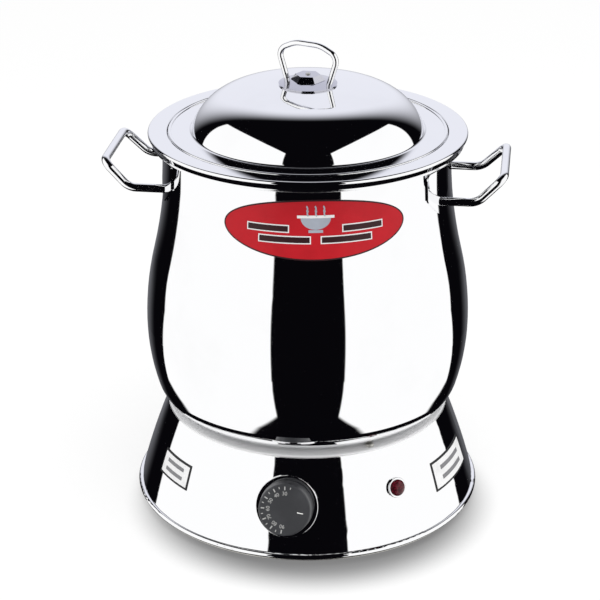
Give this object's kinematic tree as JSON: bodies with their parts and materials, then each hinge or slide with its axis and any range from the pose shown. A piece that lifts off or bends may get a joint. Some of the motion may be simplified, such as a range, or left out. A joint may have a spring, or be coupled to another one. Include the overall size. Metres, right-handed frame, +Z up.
{
  "type": "soup kettle",
  "caption": "Electric soup kettle: bellied polished steel vessel on a flared heated base with a thermostat knob and pilot lamp, lift-out pot, rod handles and domed lid.",
  "frame": {"origin": "on the table under the kettle axis, at the level of the feet", "axes": "+Z up the kettle axis, -Y towards the thermostat knob, side handles along X"},
  "size_m": [0.3544, 0.3368, 0.4279],
  "materials": {
    "polished_steel": "mirror-polished stainless steel",
    "bright_rod": "bright polished",
    "black_plastic": "satin moulded, printed scale",
    "red_lens": "clear red lens",
    "black_rubber": "matte",
    "plated_steel": "zinc plated",
    "element_sheath": "dark oxidised sheath",
    "white_ceramic": "unglazed steatite",
    "mineral_wool": "pressed fibre",
    "pale_plastic": "moulded thermoset",
    "copper_tube": "drawn copper"
  },
  "bodies": {
    "kettle": {"base_shell": "polished_steel", "base_plate": "plated_steel", "rubber_feet": "black_rubber", "seat_ring": "polished_steel", "ledge_screws": "plated_steel", "heat_shield": "plated_steel", "insulation_pad": "mineral_wool", "heating_element": "element_sheath", "element_bushes": "white_ceramic", "heater_clamp_plate": "plated_steel", "centre_stud": "plated_steel", "clamp_nut": "plated_steel", "base_nut": "plated_steel", "terminal_block": "white_ceramic", "cable_gland": "black_plastic", "gland_nut": "black_plastic", "knob_ring": "bright_rod", "thermostat_body": "pale_plastic", "thermostat_nut": "plated_steel", "sensing_bulb": "copper_tube", "lamp_bezel": "bright_rod", "lamp_lens": "red_lens", "lamp_body": "pale_plastic", "lamp_nut": "plated_steel", "outer_vessel": "polished_steel", "left_handle_brackets": "polished_steel", "right_handle_brackets": "polished_steel", "left_handle": "bright_rod", "right_handle": "bright_rod"},
    "pot": {"soup_pot": "polished_steel"},
    "lid": {"lid_shell": "polished_steel", "lid_saucer": "polished_steel", "lid_boss": "polished_steel", "lid_screw": "plated_steel", "lid_loop": "bright_rod"},
    "knob": {"control_knob": "black_plastic", "thermostat_shaft": "plated_steel"}
  },
  "joints": [
    {"name": "pot_lift", "type": "slide", "parent": "kettle", "child": "pot", "axis": [0, 0, 1], "range_m": [0, 0.26]},
    {"name": "lid_lift", "type": "slide", "parent": "pot", "child": "lid", "axis": [0, 0, 1], "range_m": [0, 0.15]},
    {"name": "knob_turn", "type": "hinge", "parent": "kettle", "child": "knob", "pos_m": [0, -0.14325, 0.0517], "axis": [0, 0.9484, -0.317], "range_deg": [0, 270]}
  ]
}
